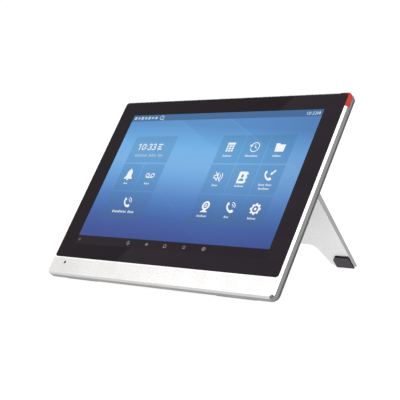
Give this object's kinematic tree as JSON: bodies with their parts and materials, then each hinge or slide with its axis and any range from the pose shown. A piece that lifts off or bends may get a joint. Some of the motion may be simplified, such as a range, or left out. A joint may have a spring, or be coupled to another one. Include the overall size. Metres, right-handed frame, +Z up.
{
  "type": "desk ip phone",
  "caption": "Desk phone with a wide touch screen in an aluminium frame, a red call light at one corner and a hinged plate stand that folds flat.",
  "frame": {"origin": "middle of the bottom of the object's box, on the desk", "axes": "+Z up, +X to the right as its user sees it, -Y towards the user, with the stand fully open"},
  "size_m": [0.2572, 0.146, 0.1479],
  "materials": {
    "frame_aluminium": "sand-blasted face, brushed sides, polished chamfer",
    "black_glass": "polished, printed black behind, clear over the display",
    "foam_tape": "matt foam",
    "sensor_glass": "clear film",
    "display": "lit picture under glass",
    "backlight": "white diffuser in a metal tray",
    "flex_film": "amber film with copper tracks",
    "red_lens": "tinted translucent lens",
    "circuit_board": "solder mask over glass fibre",
    "lead_jacket": "flat twin lead",
    "rubber": "matt moulded rubber",
    "brass_parts": "pressed brass",
    "chassis_metal": "rolled sheet",
    "screw_steel": "zinc plated",
    "chip_plastic": "moulded epoxy",
    "cell_steel": "nickel plated",
    "black_plastic": "moulded",
    "jack_steel": "pressed and tin plated",
    "gold_contacts": "gold flash",
    "white_plastic": "moulded",
    "plate_metal": "bead-blasted plate",
    "antenna_film": "printed board",
    "cover_plastic": "fine spark texture",
    "hinge_steel": "nickel plated",
    "stand_aluminium": "fine sand-blasted, anodised",
    "button_plastic": "moulded",
    "magnet": "plated ring magnet",
    "speaker_paper": "coated paper",
    "grille_metal": "powder coated"
  },
  "bodies": {
    "phone": {"front_frame": "frame_aluminium", "cover_glass": "black_glass", "glass_tape": "foam_tape", "touch_sensor": "sensor_glass", "lcd_cell": "display", "backlight_unit": "backlight", "display_flex": "flex_film", "touch_flex": "flex_film", "indicator_lens": "red_lens", "indicator_board": "circuit_board", "indicator_lead": "lead_jacket", "microphone_boot": "rubber", "microphone_capsule": "brass_parts", "microphone_lead": "lead_jacket", "chassis_plate": "chassis_metal", "chassis_screws": "screw_steel", "main_board": "circuit_board", "processor": "chip_plastic", "heat_spreader": "chassis_metal", "clock_cell": "cell_steel", "clock_cell_holder": "black_plastic", "lan_jack": "jack_steel", "lan_contacts": "gold_contacts", "pc_jack": "jack_steel", "pc_contacts": "gold_contacts", "usb_socket": "jack_steel", "usb_tongue": "white_plastic", "power_jack": "black_plastic", "power_pin": "jack_steel", "headset_jack": "black_plastic", "reset_switch": "black_plastic", "port_plate": "plate_metal", "speaker_frame_left": "black_plastic", "speaker_magnet_left": "magnet", "speaker_cone_left": "speaker_paper", "speaker_grille_left": "grille_metal", "speaker_lead_left": "lead_jacket", "speaker_frame_right": "black_plastic", "speaker_magnet_right": "magnet", "speaker_cone_right": "speaker_paper", "speaker_grille_right": "grille_metal", "speaker_lead_right": "lead_jacket", "antenna_board": "antenna_film", "rear_cover": "cover_plastic", "rear_cover_screws": "screw_steel", "board_screws": "screw_steel", "hinge_bracket_left": "hinge_steel", "hinge_bracket_right": "hinge_steel", "bracket_screws": "screw_steel", "hinge_washers": "hinge_steel", "base_foot_left": "rubber", "base_foot_right": "rubber"},
    "stand": {"stand_plate": "stand_aluminium", "stand_foot_left": "rubber", "stand_foot_right": "rubber", "hinge_pin_left": "hinge_steel", "hinge_pin_right": "hinge_steel", "hinge_nuts": "hinge_steel"},
    "reset": {"reset_button": "button_plastic"}
  },
  "joints": [
    {"name": "stand_hinge", "type": "hinge", "parent": "phone", "child": "stand", "pos_m": [0, 0.01774, 0.07629], "axis": [1, 0, 0], "range_deg": [-72.8, 0]},
    {"name": "reset_press", "type": "slide", "parent": "phone", "child": "reset", "axis": [0, 0.6184, 0.7859], "range_m": [0, 0.0004], "stiffness_N_per_m": 600}
  ]
}
